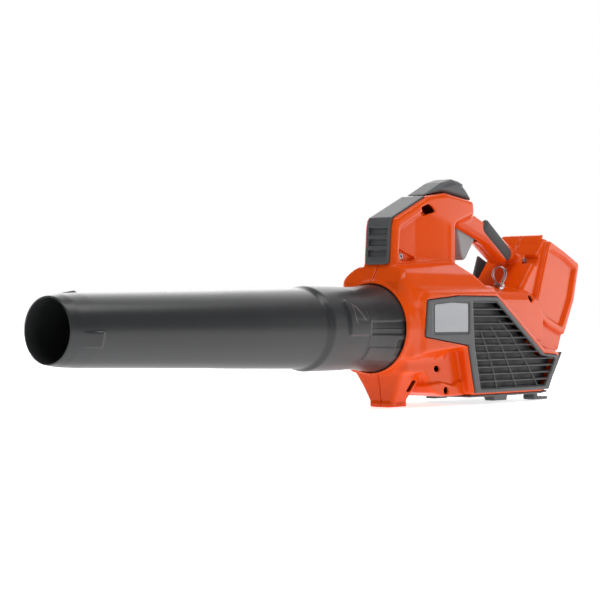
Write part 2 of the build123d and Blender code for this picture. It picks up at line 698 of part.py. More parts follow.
# ---------------------------------------------------------------- battery bay
HALF_DEPTH, HALF_WIDTH = BATTERY_DEPTH / 2, BATTERY_WIDTH / 2
with BuildPart() as battery_holder:
    with BuildSketch(bay_level(-2.6)):
        Rectangle(2 * HALF_DEPTH + 4.4, 2 * HALF_WIDTH + 5)
        fillet(vertices(), 3)
    extrude(amount=100)
    with BuildSketch(bay_level(-0.4)):
        Rectangle(2 * HALF_DEPTH + 1, 2 * HALF_WIDTH + 1)
        fillet(vertices(), 2)
    extrude(amount=110, mode=Mode.SUBTRACT)
    with BuildSketch(bay_level(-4)):
        Rectangle(20, 34)
    extrude(amount=6, mode=Mode.SUBTRACT)
    with BuildSketch(bay_level(44)):
        with Locations((-36, HALF_WIDTH + 1)):
            Rectangle(16, 8)
    extrude(amount=36, mode=Mode.SUBTRACT)
export(battery_holder, "battery_holder")

BLADE_SPREAD = 8.0
with BuildPart() as terminal_block:
    with BuildSketch(bay_level(-6)):
        Rectangle(19.8, 33.8)
    extrude(amount=5.5)
    with BuildSketch(bay_level(-0.5)):
        with GridLocations(1, BLADE_SPREAD, 1, 4):
            Rectangle(8, 1)
    extrude(amount=10)
export(terminal_block, "terminal_block")

CASE_TOP = 104.0
with BuildPart() as battery_case:
    with BuildSketch(bay_level(0)):
        Rectangle(BATTERY_DEPTH, BATTERY_WIDTH)
        fillet(vertices(), 2.5)
    extrude(amount=CASE_TOP)
    with BuildSketch(bay_level(14)):
        Rectangle(BATTERY_DEPTH - 4, BATTERY_WIDTH - 5)
    extrude(amount=CASE_TOP, mode=Mode.SUBTRACT)
    with BuildSketch(bay_level(0)):
        Rectangle(18, 36)
    extrude(amount=14, mode=Mode.SUBTRACT)
    with BuildSketch(bay_level(-1)):
        with Locations((-31, HALF_WIDTH)):
            Rectangle(12, 3)
    extrude(amount=84, mode=Mode.SUBTRACT)
export(battery_case, "battery_case")

with BuildPart() as battery_contacts:
    with BuildSketch(bay_level(0.5)):
        Rectangle(17.6, 35.6)
        with GridLocations(1, BLADE_SPREAD, 1, 4):
            Rectangle(9, 1.8, mode=Mode.SUBTRACT)
    extrude(amount=13)
export(battery_contacts, "battery_contacts")

with BuildPart() as battery_cells:
    with BuildSketch(BAY_SIDE):
        with Locations((0, 58)):
            with GridLocations(18.4, 17.2, 4, 5):
                Circle(8.5)
    extrude(amount=32.5, both=True)
export(battery_cells, "battery_cells")

CHARGE_SPOT = (-20.0, 18.0)
with BuildPart() as battery_cap:
    with BuildSketch(bay_level(CASE_TOP)):
        Rectangle(BATTERY_DEPTH, BATTERY_WIDTH)
        fillet(vertices(), 2.5)
    extrude(amount=BATTERY_TALL - CASE_TOP)
    fillet(battery_cap.faces().sort_by(Axis(BAY_FOOT, UP_LEAN))[-1].edges(), 3)
    with BuildSketch(bay_level(CASE_TOP)):
        Rectangle(BATTERY_DEPTH - 5, BATTERY_WIDTH - 5)
    extrude(amount=BATTERY_TALL - CASE_TOP - 3, mode=Mode.SUBTRACT)
    with BuildSketch(bay_level(BATTERY_TALL - 4)):
        with Locations(CHARGE_SPOT):
            Circle(4.2)
        with Locations((CHARGE_SPOT[0], -8)):
            RectangleRounded(6, 26, 2)
    extrude(amount=6, mode=Mode.SUBTRACT)
export(battery_cap, "battery_cap")

with BuildPart() as charge_lens:
    with BuildSketch(bay_level(BATTERY_TALL - 3)):
        with Locations((CHARGE_SPOT[0], -8)):
            RectangleRounded(5.9, 25.9, 1.95)
    extrude(amount=2.9)
export(charge_lens, "charge_lens")

with BuildPart() as charge_button:
    with BuildSketch(bay_level(BATTERY_TALL - 4.4)):
        with Locations(CHARGE_SPOT):
            Circle(4.0)
    extrude(amount=5)
    with BuildSketch(bay_level(BATTERY_TALL - 4.4)):
        with Locations(CHARGE_SPOT):
            Circle(5.0)
    extrude(amount=1)
export(charge_button, "charge_button")

# ---------------------------------------------------------------- battery latch, on the right
LATCH_LOW, LATCH_HIGH = 46.0, 78.0
LATCH_PIVOT = (-46.0, 43.5)
with BuildPart() as battery_latch:
    with BuildSketch(bay_level(LATCH_LOW)):
        with BuildLine():
            Polyline(
                (-72, 46.4), (-72, 49.6), (-52, 49.6), (-43.5, 46.2), (-34, 42.6), (-30, 40.8), (-30, 38.9),
                (-33, 38.9), (-34, 39.9), (-43.5, 40.8), (-50, 42.2), (-53, 46.4), close=True,
            )
        make_face()
    extrude(amount=LATCH_HIGH - LATCH_LOW)
    with BuildSketch(bay_level(LATCH_LOW)):
        with Locations(LATCH_PIVOT):
            Circle(1.25 + RUN)
    extrude(amount=40, mode=Mode.SUBTRACT)
    with BuildSketch(bay_level(58)):
        with Locations(LATCH_PIVOT):
            Circle(4.5)
    extrude(amount=8, mode=Mode.SUBTRACT)
export(battery_latch, "battery_latch")

with BuildPart() as latch_pin:
    with BuildSketch(bay_level(LATCH_LOW - 2)):
        with Locations(LATCH_PIVOT):
            Circle(1.25)
    extrude(amount=LATCH_HIGH - LATCH_LOW + 4)
export(latch_pin, "latch_pin")

with BuildPart() as latch_spring:
    coil_start = bay_level(58.8).from_local_coords((*LATCH_PIVOT, 0))
    with BuildLine() as latch_coil:
        Helix(pitch=1.2, height=6.4, radius=2.4, center=coil_start, direction=UP_LEAN)
    with BuildSketch(Plane(origin=latch_coil.line @ 0, z_dir=latch_coil.line % 0)):
        Circle(0.35)
    sweep()
export(latch_spring, "latch_spring")

# ---------------------------------------------------------------- strap eyelet
with BuildPart() as eyelet_bracket:
    with Locations(world(EYE_STATION, EYE_FOOT - 3.4, EYE_LEFT)):
        Box(9, 8, 6)
    with Locations(world(EYE_STATION, EYE_FOOT, EYE_LEFT)):
        Cylinder(3.4, 8, rotation=(90, 0, 0))
        Cylinder(EYE_WIRE + RUN, 20, rotation=(90, 0, 0), mode=Mode.SUBTRACT)
export(eyelet_bracket, "eyelet_bracket")

eye_plane = Plane(origin=world(EYE_STATION, EYE_FOOT, EYE_LEFT), x_dir=(0, 1, 0), z_dir=(1, 0, 0))
with BuildPart() as strap_eyelet:
    with BuildLine(eye_plane) as eye_wire:
        Spline((6, 0), (10, 13), (0, 25), (-10, 13), (-6, 0), tangents=((0.3, 1), (0.3, -1)))
    with BuildSketch(Plane(origin=eye_wire.line @ 0, z_dir=eye_wire.line % 0)):
        Circle(EYE_WIRE)
    sweep()
    with Locations(world(EYE_STATION, EYE_FOOT, EYE_LEFT)):
        Cylinder(EYE_WIRE, 15.4, rotation=(90, 0, 0))
export(strap_eyelet, "strap_eyelet")

# ---------------------------------------------------------------- screws
with BuildPart() as housing_screws:
    for station, height, seat in SCREWS:
        with Locations(world(station, height, seat + 1.4)):
            Cylinder(HEAD_RADIUS, 2.8, rotation=(90, 0, 0))
        with Locations(world(station, height, seat - 12)):
            Cylinder(SHANK_RADIUS, 24, rotation=(90, 0, 0))
        with Locations(world(station, height, seat + 2.4)):
            Cylinder(1.6, 1.6, rotation=(90, 0, 0), mode=Mode.SUBTRACT)
export(housing_screws, "housing_screws")
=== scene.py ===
"""Looks of the handheld leaf blower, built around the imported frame.

Shapes are fields in the side frame, in millimetres: station behind the mouth, height over the fan axis and
distance to the left of the middle plane. A field is negative inside, and is meshed into a closed smooth skin.
"""

import itertools
import json
from math import cos, pi, radians, sin, tan

import bpy
import numpy as np
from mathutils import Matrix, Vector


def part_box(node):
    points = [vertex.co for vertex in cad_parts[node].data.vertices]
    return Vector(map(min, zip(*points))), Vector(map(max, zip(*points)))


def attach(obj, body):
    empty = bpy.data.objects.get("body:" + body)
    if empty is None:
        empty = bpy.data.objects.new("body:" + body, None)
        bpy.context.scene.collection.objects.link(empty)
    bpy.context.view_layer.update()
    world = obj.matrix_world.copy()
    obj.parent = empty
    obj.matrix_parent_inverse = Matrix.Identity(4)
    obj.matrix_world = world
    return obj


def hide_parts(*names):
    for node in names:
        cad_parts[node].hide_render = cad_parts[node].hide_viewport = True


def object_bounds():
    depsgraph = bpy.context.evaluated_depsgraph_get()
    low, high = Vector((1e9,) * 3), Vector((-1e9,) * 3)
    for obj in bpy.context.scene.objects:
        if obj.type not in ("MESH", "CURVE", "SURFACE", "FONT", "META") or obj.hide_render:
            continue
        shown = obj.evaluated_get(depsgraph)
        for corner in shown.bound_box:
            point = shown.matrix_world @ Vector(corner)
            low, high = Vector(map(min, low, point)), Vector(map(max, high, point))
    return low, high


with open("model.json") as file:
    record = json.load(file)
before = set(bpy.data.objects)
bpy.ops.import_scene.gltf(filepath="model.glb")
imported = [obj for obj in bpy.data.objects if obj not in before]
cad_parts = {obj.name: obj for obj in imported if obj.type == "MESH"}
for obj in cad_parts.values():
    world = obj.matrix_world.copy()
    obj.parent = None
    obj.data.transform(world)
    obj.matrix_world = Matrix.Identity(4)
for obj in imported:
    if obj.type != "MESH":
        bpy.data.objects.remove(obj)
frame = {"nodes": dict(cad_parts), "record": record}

import openvdb
from mathutils import Vector

CAD_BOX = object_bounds()
MM = 0.001

# ---------------------------------------------------------------- places, from the frame, mm
HALF_LENGTH = (CAD_BOX[1][0] - CAD_BOX[0][0]) / 2 / MM
shaft_low, shaft_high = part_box("motor_shaft")
AXIS_HEIGHT = (shaft_low.z + shaft_high.z) / 2 / MM
BODY_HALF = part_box("left_plate")[1].y / -MM - 0.45
TAIL_HALF = 48.0
BELLY_HALF = 46.0
PILLAR_HALF = 25.0
BAR_HALF = 17.0
BOX_HALF = 45.0
WALL = 3.0
SKIN_STEP = 1.2
BODY_FRONT = 552
NOSE_RADIUS, NOSE_MIDDLE, NOSE_REACH = 60.5, 600, 50
FRONT_WALL_STATION, FRONT_WALL_BORE = 572, 56
COLLAR_SEAT_RADIUS, COLLAR_SEAT_END = 57.2, 571.5
# The shells are cut back round the fan to clear the duct, which is 51 mm in radius.
FAN_ROOM_RADIUS, FAN_ROOM_MIDDLE, FAN_ROOM_REACH = 52.4, 667, 22
BAY_LEAN = radians(22.6)
BAY_FOOT = (904.4, 2.6)
STRIP_MIDDLE = 108.5

# ---------------------------------------------------------------- side outlines (station, height)
BODY_CORE = [
    (552, -30), (552, 24), (566, 42), (580, 50), (756, 50), (872, -28), (870, -60), (700, -60), (677, -28),
    (566, -40),
]
BODY_PAD = [
    (581, -34), (581, 36), (592, 47), (752, 50), (872, -28), (912, -34), (898, -64), (883, -86.5),
    (866, -89.5), (692, -89.5), (677, -26),
]
TAIL = [(850, -20), (940, -36), (917, -64), (889, -86.5), (866, -89.5), (840, -89.5)]
BELLY = [(563, -58), (563, 60), (700, 60), (700, -89.5), (648, -89.5), (624, -84), (612, -66), (604, -60)]
BUMPER = [(612, -72), (640, -70), (664, -75), (680, -70), (694, -70), (694, -89.5), (648, -89.5), (622, -84)]
SHOULDER = [(552, 30), (552, 58), (567, 80), (700, 89), (739, 58), (760, 57), (760, 30)]
SHOULDER_SECTION = [(-58, 10), (-58, 45), (-46, 71), (-27, 89), (27, 89), (46, 71), (58, 45), (58, 10)]
SPINE = [(690, -20), (700, 57), (842, 57), (885, 30), (885, -20), (840, -20)]
SPINE_SECTION = [(-52, -30), (-52, 38), (-46, 49), (-22, 57), (22, 57), (46, 49), (52, 38), (52, -30)]
PILLAR = [
    (566, 70), (570, 130), (573, 142), (647, 174.5), (687, 180.5), (752, 172.6), (754, 154), (722, 143),
    (709, 139), (709, 70),
]
PILLAR_PANEL = [(579, 93), (582, 130), (640, 156), (668, 148), (692, 140), (694, 89)]
WINDOW = [(629, 158), (645, 163.5), (654, 160), (661, 154), (635, 147)]
SCREW_NICHE = [(582, 87), (584, 103), (598, 98), (618, 92), (612, 87)]
BAR = [(735, 168), (769, 157), (796, 147.5), (870, 112), (885, 96), (842, 90), (800, 114), (765, 124), (722, 137)]
BOX = [(842, 57), (877, 96), (906, 127), (990, 92), (973, 39), (950, -12), (940, -34), (884, -33), (846, 20)]
BOX_PANEL = [(906, 124), (866, 23), (902, 2), (945, -12), (973, 39), (988, 92), (948, 109)]
BOX_FIELD = [(908, 112), (876, 30), (904, 12), (939, 0), (963, 40), (977, 86), (945, 101)]
BOX_CHANNEL = [(870, 93), (881, 105), (889, 98), (878, 86)]
CROWN = [(898, 118), (908, 131), (922, 136), (931, 117)]
GRILLE = [
    (590, 36), (660, 42), (751, 42), (870, -37), (910, -39), (895, -63), (880, -87), (698, -87),
    (682, -23), (585, -11),
]
GRILLE_FIELD = [(691, 36), (748, 36), (862, -39), (898, -43), (886, -62), (870, -82), (710, -82), (696, -24)]
GRILLE_RIBS = [  # heights, rising, and the stations of each rib at them
    ((-86, -62, -40, -4), (752, 744, 733, 712)),
    ((-86, -54, -26, 4), (802, 781, 763, 734)),
    ((-86, -54, -9, 12), (858, 829, 785, 753)),
]
PLATE_FIELD = [(602, -8), (602, 32), (642, 35.5), (683, 34.5), (683, -8)]
STRIP = [
    (567, 82), (570.6, 130), (574.8, 141), (643, 170.9), (645, 175.2), (571.6, 143), (567.4, 131), (563.5, 82),
]
HUMP = [
    (647, 175), (687, 181.5), (752, 173.4), (757, 175), (742, 189), (728, 199), (712, 201), (690, 195),
    (655, 179),
]
BASE_WRAP = [
    (862, -89.8), (866.1, -89.8), (889.1, -86.7), (917.2, -64.2), (940.3, -36), (944, -35), (921, -67),
    (892, -90.5), (869, -92.6), (862, -92.6),
]
BASE_FLOOR = [(694, -89.6), (866, -89.6), (884, -88.2), (886, -90.8), (869, -92.6), (694, -92.6)]
LEG = [
    (560, -20), (636, -20), (632, -36), (615, -70), (604.5, -92), (604.5, -102.5), (573.5, -102.5), (571, -78),
    (563, -44),
]
TRIGGER = [
    (733, 145), (736, 128), (744, 97), (750, 92), (756, 95), (777, 121), (772, 133), (750, 146), (742, 147.5),
]
TRIGGER_OPENING = [(727, 128), (727, 139), (766, 130), (786, 124), (786, 110), (745, 120)]
LEG_OPENING = [(597, -68), (607, -68), (602, -82), (593, -82)]
SCREWS = [(590.0, 93.0, 17.5), (650.0, -82.0, 36.0), (853.0, 40.0, 26.0), (880.5, 95.0, 21.5)]
GRIP_MIDDLE, GRIP_LONG, GRIP_WIDE, GRIP_TURN = (822.0, 121.5), 83.4, 20.4, -34.0


# ---------------------------------------------------------------- fields
class Block:
    """A box of sample points, with one array for each axis of the side frame."""

    def __init__(self, low, high, step):
        counts = [int(round((b - a) / step)) + 1 for a, b in zip(low, high)]
        self.low = np.array(low, float)
        self.step = step
        lines = [low[i] + step * np.arange(counts[i]) for i in range(3)]
        self.s = lines[0].astype(np.float32)[:, None, None]
        self.h = lines[1].astype(np.float32)[None, :, None]
        self.l = lines[2].astype(np.float32)[None, None, :]


def rounded(outline, radius, steps=4):
    """The outline with its corners turned into short curves."""
    points = [np.array(point, float) for point in outline]
    result = []
    for before, corner, after in zip(points[-1:] + points[:-1], points, points[1:] + points[:1]):
        first, second = before - corner, after - corner
        long_1, long_2 = np.hypot(*first), np.hypot(*second)
        half_turn = np.arccos(np.clip(first @ second / (long_1 * long_2), -1, 1)) / 2
        reach = min(radius / max(tan(half_turn), 0.05), 0.45 * long_1, 0.45 * long_2)
        start = corner + first / long_1 * reach
        end = corner + second / long_2 * reach
        for t in np.linspace(0, 1, steps + 1):
            result.append(tuple((1 - t) ** 2 * start + 2 * t * (1 - t) * corner + t ** 2 * end))
    return result


def outline_field(outline, across, up):
    """Signed distance from a closed outline in the plane of two axes."""
    shape = np.broadcast(across, up).shape
    nearest = np.full(shape, 1e9, np.float32)
    inside = np.zeros(shape, bool)
    for (ax, ay), (bx, by) in zip(outline, outline[1:] + outline[:1]):
        ex, ey = bx - ax, by - ay
        px, py = across - ax, up - ay
        along = np.clip((px * ex + py * ey) / (ex * ex + ey * ey + 1e-9), 0, 1)
        np.minimum(nearest, (px - along * ex) ** 2 + (py - along * ey) ** 2, out=nearest)
        if by != ay:
            inside ^= ((ay > up) != (by > up)) & (px < py * (ex / ey))
    return np.where(inside, -1, 1) * np.sqrt(nearest)


def rims(side, flank, rim):
    """Where two fields meet, with the edge between them rounded."""
    side, flank = side + rim, flank + rim
    inner = np.minimum(np.maximum(side, flank), 0)
    return inner + np.sqrt(np.maximum(side, 0) ** 2 + np.maximum(flank, 0) ** 2) - rim


def prism(block, outline, half, rim):
    """A side outline drawn out to both sides of the middle plane."""
    return rims(outline_field(outline, block.s, block.h), abs(block.l) - half, rim)


def join(a, b, blend=0.0):
    """Both fields together, with a fillet of about that size."""
    if not blend:
        return np.minimum(a, b)
    near = np.maximum(blend - abs(a - b), 0) / blend
    return np.minimum(a, b) - near * near * blend / 4


def meet(a, b, blend=0.0):
    """What both fields share."""
    return -join(-a, -b, blend)


def cut(a, b, blend=0.0):
    """The first field without the second."""
    return meet(a, -b, blend)


def pin(block, station, height, radius):
    """A round bar from left to right."""
    return np.sqrt((block.s - station) ** 2 + (block.h - height) ** 2) - radius


def off_axis(block):
    """Distance from the fan axis."""
    return np.sqrt(block.h ** 2 + block.l ** 2)


def bar_slot(block, grow=0.0):
    """The long rounded shape of the pad on the handle, seen from the side."""
    turn = radians(GRIP_TURN)
    s, h = block.s - GRIP_MIDDLE[0], block.h - GRIP_MIDDLE[1]
    along = s * cos(turn) + h * sin(turn)
    aside = h * cos(turn) - s * sin(turn)
    reach = (GRIP_LONG - GRIP_WIDE) / 2
    return np.sqrt(np.maximum(abs(along) - reach, 0) ** 2 + aside ** 2) - GRIP_WIDE / 2 - grow


# ---------------------------------------------------------------- meshes
def to_world(points):
    """Points of the side frame, in mm, to the row's frame, in metres."""
    place = np.empty((len(points), 3))
    place[:, 0] = (points[:, 0] - HALF_LENGTH) * MM
    place[:, 1] = -points[:, 2] * MM
    place[:, 2] = (points[:, 1] + AXIS_HEIGHT) * MM
    return place


def make_object(name, places, faces, normals=None):
    """A mesh object from arrays; faces is a list of index arrays, one for each number of corners."""
    mesh = bpy.data.meshes.new(name)
    mesh.vertices.add(len(places))
    mesh.vertices.foreach_set("co", np.asarray(places, np.float32).ravel())
    corners = np.concatenate([group.ravel() for group in faces]).astype(np.int32)
    sizes = np.concatenate([np.full(len(group), group.shape[1]) for group in faces])
    mesh.loops.add(len(corners))
    mesh.loops.foreach_set("vertex_index", corners)
    mesh.polygons.add(len(sizes))
    starts = np.concatenate([[0], np.cumsum(sizes)[:-1]]).astype(np.int32)
    mesh.polygons.foreach_set("loop_start", starts)
    mesh.update(calc_edges=True)
    mesh.validate()
    mesh.polygons.foreach_set("use_smooth", np.ones(len(mesh.polygons), bool))
    if normals is not None:
        mesh.normals_split_custom_set_from_vertices(normals)
    made = bpy.data.objects.new(name, mesh)
    bpy.context.scene.collection.objects.link(made)
    return made


def sampled(values, points):
    """The values between the samples, at points in sample units."""
    low = np.clip(np.floor(points).astype(int), 0, np.array(values.shape) - 2)
    part = points - low
    total = np.zeros(len(points))
    for corner in itertools.product((0, 1), repeat=3):
        weight = np.ones(len(points))
        for axis in range(3):
            weight *= part[:, axis] if corner[axis] else 1 - part[:, axis]
        total += weight * values[low[:, 0] + corner[0], low[:, 1] + corner[1], low[:, 2] + corner[2]]
    return total


def skin(name, block, field, flatness=0.0):
    """The closed smooth surface where the field is zero."""
    band = 3 * block.step
    values = np.clip(field, -band, band).astype(np.float32)
    for axis in range(3):
        face = [slice(None)] * 3
        for end in (0, -1):
            face[axis] = end
            values[tuple(face)] = band
    volume = openvdb.FloatGrid(band)
    volume.copyFromArray(values)
    points, triangles, quads = volume.convertToPolygons(isovalue=0.0, adaptivity=flatness)
    points = points.astype(float)
    slopes = np.gradient(values, block.step)
    for _ in range(2):
        slope = np.stack([sampled(part, points) for part in slopes], axis=1)
        steepness = np.maximum((slope ** 2).sum(1), 0.2)
        move = -sampled(values, points) / steepness
        move = np.clip(move, -0.4 * block.step, 0.4 * block.step)
        points += slope * (move / block.step)[:, None]
    slope = np.stack([sampled(part, points) for part in slopes], axis=1)
    slope /= np.maximum(np.linalg.norm(slope, axis=1), 1e-6)[:, None]
    places = to_world(block.low + points * block.step)
    normals = np.stack([slope[:, 0], -slope[:, 2], slope[:, 1]], axis=1)
    faces = [group for group in (quads, triangles) if len(group)]
    first = faces[0]
    side_a = places[first[:, 1]] - places[first[:, 0]]
    side_b = places[first[:, 2]] - places[first[:, 0]]
    if (np.cross(side_a, side_b) * normals[first[:, 0]]).sum() < 0:
        faces = [group[:, ::-1] for group in faces]
    return make_object(name, places, faces, normals)


def spun(name, stations, radii):
    """A ring-shaped solid about the fan axis: one row of radii for each station, closed on itself."""
    rows, turns = radii.shape
    angle = np.linspace(0, 2 * pi, turns, endpoint=False)[None, :]
    left, up = radii * np.cos(angle), radii * np.sin(angle)
    along = np.broadcast_to(stations[:, None], radii.shape)
    points = np.stack([along.ravel(), up.ravel(), left.ravel()], axis=1)
    row, turn = np.meshgrid(np.arange(rows), np.arange(turns), indexing="ij")
    next_row, next_turn = (row + 1) % rows, (turn + 1) % turns
    corners = [row * turns + turn, next_row * turns + turn]
    corners += [next_row * turns + next_turn, row * turns + next_turn]
    quads = np.stack([corner.ravel() for corner in corners], axis=1)
    return make_object(name, to_world(points), [quads[:, ::-1]])


def step_up(distance, width):
    """0 outside an edge and 1 further in than width, with a smooth rise between them."""
    t = np.clip(-distance / width, 0, 1)
    return t * t * (3 - 2 * t)


# ---------------------------------------------------------------- materials
def noise(tree, coordinates, scale, detail=2.0):
    node = tree.nodes.new("ShaderNodeTexNoise")
    node.inputs["Scale"].default_value = scale
    node.inputs["Detail"].default_value = detail
    tree.links.new(coordinates, node.inputs["Vector"])
    return node.outputs["Fac"]


def between(tree, value, low, high):
    """A value from about 0.3..0.7 spread over a range."""
    node = tree.nodes.new("ShaderNodeMapRange")
    node.inputs["From Min"].default_value = 0.3
    node.inputs["From Max"].default_value = 0.7
    node.inputs["To Min"].default_value = low
    node.inputs["To Max"].default_value = high
    tree.links.new(value, node.inputs["Value"])
    return node.outputs["Result"]


def mixed(tree, value, first, second):
    """A colour between two colours."""
    node = tree.nodes.new("ShaderNodeMix")
    node.data_type = "RGBA"
    node.inputs["A"].default_value = (*first, 1)
    node.inputs["B"].default_value = (*second, 1)
    tree.links.new(value, node.inputs["Factor"])
    return node.outputs["Result"]


def surface(name, colour, roughness, grain=0.00035, depth=0.00002, metallic=0.0, coat=0.0, spread=0.05,
            mottle=0.06, stretch=(1, 1, 1), specular=0.5):
    """A moulded or worked surface: grain size and depth are in metres."""
    material = bpy.data.materials.new(name)
    material.use_nodes = True
    tree = material.node_tree
    shader = tree.nodes["Principled BSDF"]
    shader.inputs["Metallic"].default_value = metallic
    shader.inputs["Specular IOR Level"].default_value = specular
    shader.inputs["Coat Weight"].default_value = coat
    shader.inputs["Coat Roughness"].default_value = 0.12
    origin = tree.nodes.new("ShaderNodeTexCoord")
    stretched = tree.nodes.new("ShaderNodeMapping")
    stretched.inputs["Scale"].default_value = stretch
    tree.links.new(origin.outputs["Object"], stretched.inputs["Vector"])
    coordinates = stretched.outputs["Vector"]
    broad = noise(tree, coordinates, 24.0, 3.0)
    fine = noise(tree, coordinates, 1 / grain, 3.0)
    dark = tuple(part * (1 - mottle) for part in colour)
    light = tuple(min(part * (1 + mottle), 1) for part in colour)
    shades = between(tree, broad, 0, 1)
    tree.links.new(mixed(tree, shades, dark, light), shader.inputs["Base Color"])
    rough = between(tree, fine, roughness - spread, roughness + spread)
    tree.links.new(rough, shader.inputs["Roughness"])
    bump = tree.nodes.new("ShaderNodeBump")
    bump.inputs["Distance"].default_value = depth
    tree.links.new(fine, bump.inputs["Height"])
    tree.links.new(bump.outputs["Normal"], shader.inputs["Normal"])
    return material


MATERIALS = {
    "housing_orange": surface("housing_orange", (0.78, 0.078, 0.0025), 0.2, 0.0016, 0.000004, mottle=0.02,
                              specular=0.28),
    "grey_plastic": surface("grey_plastic", (0.085, 0.088, 0.092), 0.46, 0.0005, 0.00005),
    "tube_charcoal": surface("tube_charcoal", (0.03, 0.031, 0.033), 0.33, 0.0007, 0.00002, mottle=0.04),
    "plate_silver": surface("plate_silver", (0.42, 0.43, 0.45), 0.5, 0.0006, 0.00001, metallic=0.3,
                            stretch=(0.05, 1, 1)),
    "soft_grip": surface("soft_grip", (0.06, 0.062, 0.065), 0.62, 0.0004, 0.00006),
    "light_grey_plastic": surface("light_grey_plastic", (0.3, 0.31, 0.32), 0.4, 0.0006, 0.00004),
    "black_plastic": surface("black_plastic", (0.012, 0.012, 0.013), 0.5, 0.0005, 0.00004),
    "black_rubber": surface("black_rubber", (0.012, 0.012, 0.012), 0.7, 0.0004, 0.00005),
    "steel": surface("steel", (0.42, 0.42, 0.44), 0.3, 0.0008, 0.00001, metallic=1.0),
    "spring_steel": surface("spring_steel", (0.5, 0.5, 0.52), 0.22, 0.0005, 0.00001, metallic=1.0),
    "aluminium": surface("aluminium", (0.75, 0.76, 0.78), 0.35, 0.0006, 0.00002, metallic=1.0,
                         stretch=(0.1, 1, 1)),
    "magnet": surface("magnet", (0.4, 0.4, 0.42), 0.3, 0.0005, 0.00001, metallic=1.0),
    "stator": surface("stator", (0.42, 0.16, 0.05), 0.35, 0.0005, 0.00008, metallic=0.7, mottle=0.3),
    "board": surface("board", (0.01, 0.14, 0.05), 0.3, 0.001, 0.00002, coat=0.3),
    "wire": surface("wire", (0.3, 0.015, 0.012), 0.45, 0.0006, 0.00003),
    "cells": surface("cells", (0.05, 0.16, 0.42), 0.32, 0.0015, 0.00003, coat=0.2),
    "contact_brass": surface("contact_brass", (0.8, 0.58, 0.24), 0.28, 0.0005, 0.00001, metallic=1.0),
    "lens": surface("lens", (0.35, 0.6, 0.38), 0.12, 0.002, 0.00001, coat=0.5),
}
SLOT_OF = {row["node"]: row["material_slot"] for row in frame["record"]["subparts"]}


def finish_piece(piece, body, slot, *nodes):
    """Gives a new piece its material, its body and the CAD nodes that it stands for."""
    piece.data.materials.append(MATERIALS[slot])
    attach(piece, body)
    if nodes:
        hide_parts(*nodes)
    return piece


# ---------------------------------------------------------------- housing
def leg_field(block):
    """The tapered front leg with its small flared foot."""
    h = block.h
    share = np.clip((h + AXIS_HEIGHT) / (AXIS_HEIGHT - 28), 0, 1.3)
    wide = 15.5 + share * 38
    lengthways = outline_field(LEG, block.s, h)
    sideways = (abs(block.l) - wide) * 0.92
    column = rims(rims(lengthways, sideways, 5.0), np.maximum(h + 20, 0.4 - AXIS_HEIGHT - h), 0.8)
    foot = rims(abs(block.s - 589) - 17, abs(block.l) - 18.5, 4.0)
    foot = rims(foot, abs(h + AXIS_HEIGHT - 3.6) - 3.2, 1.2)
    return join(column, foot, 2.0)


def crossing(block, section, side, rim):
    """Where a cross-section and a side outline meet."""
    return rims(outline_field(section, block.l, block.h), outline_field(side, block.s, block.h), rim)


def housing_volume(block):
    """Everything inside the outer skin of the housing."""
    nose = rims(off_axis(block) - NOSE_RADIUS, abs(block.s - NOSE_MIDDLE) - NOSE_REACH, 4.0)
    whole = join(prism(block, rounded(BODY_CORE, 8), 57, 8.0), leg_field(block), 5.0)
    whole = join(whole, prism(block, rounded(BELLY, 8), BELLY_HALF, 6.0), 2.5)
    whole = join(whole, crossing(block, rounded(SHOULDER_SECTION, 10), rounded(SHOULDER, 10), 5.0), 8.0)
    whole = meet(whole, rims(abs(block.l) - 59, BODY_FRONT - block.s, 24.0), 3.0)
    whole = join(whole, nose, 4.0)
    whole = join(whole, prism(block, rounded(BODY_PAD, 9), BODY_HALF, 6.0), 3.0)
    whole = join(whole, prism(block, rounded(BUMPER, 4), BELLY_HALF + 3, 3.0), 2.0)
    whole = join(whole, prism(block, rounded(TAIL, 6), TAIL_HALF, 5.0), 4.0)
    whole = join(whole, crossing(block, rounded(SPINE_SECTION, 6), rounded(SPINE, 10), 3.0), 6.0)
    pillar = prism(block, rounded(PILLAR, 6), PILLAR_HALF, 6.0)
    whole = join(whole, pillar, 4.0)
    crown = prism(block, rounded(CROWN, 4), 34, 2.5)
    box = join(prism(block, rounded(BOX, 5), BOX_HALF - 2, 5.0), crown, 4.0)
    box = join(box, prism(block, rounded(BOX_PANEL, 6), BOX_HALF + 4, 2.5), 1.5)
    whole = join(whole, box, 5.0)
    return join(whole, prism(block, rounded(BAR, 6), BAR_HALF, 11.0), 9.0)


def bay_axes(block):
    """Distance up the leaning battery bay from its foot, and distance behind its middle."""
    s, h = block.s - BAY_FOOT[0], block.h - BAY_FOOT[1]
    rise = h * cos(BAY_LEAN) + s * sin(BAY_LEAN)
    back = s * cos(BAY_LEAN) - h * sin(BAY_LEAN)
    return rise, back


def bay_field(block):
    """The leaning well that the battery and its holder stand in."""
    case_low, case_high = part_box("battery_case")
    rise, back = bay_axes(block)
    wide = (case_high.y - case_low.y) / 2 / MM + 1.0
    return meet(meet(abs(back) - 41.5, abs(block.l) - wide), abs(rise - 68) - 71)


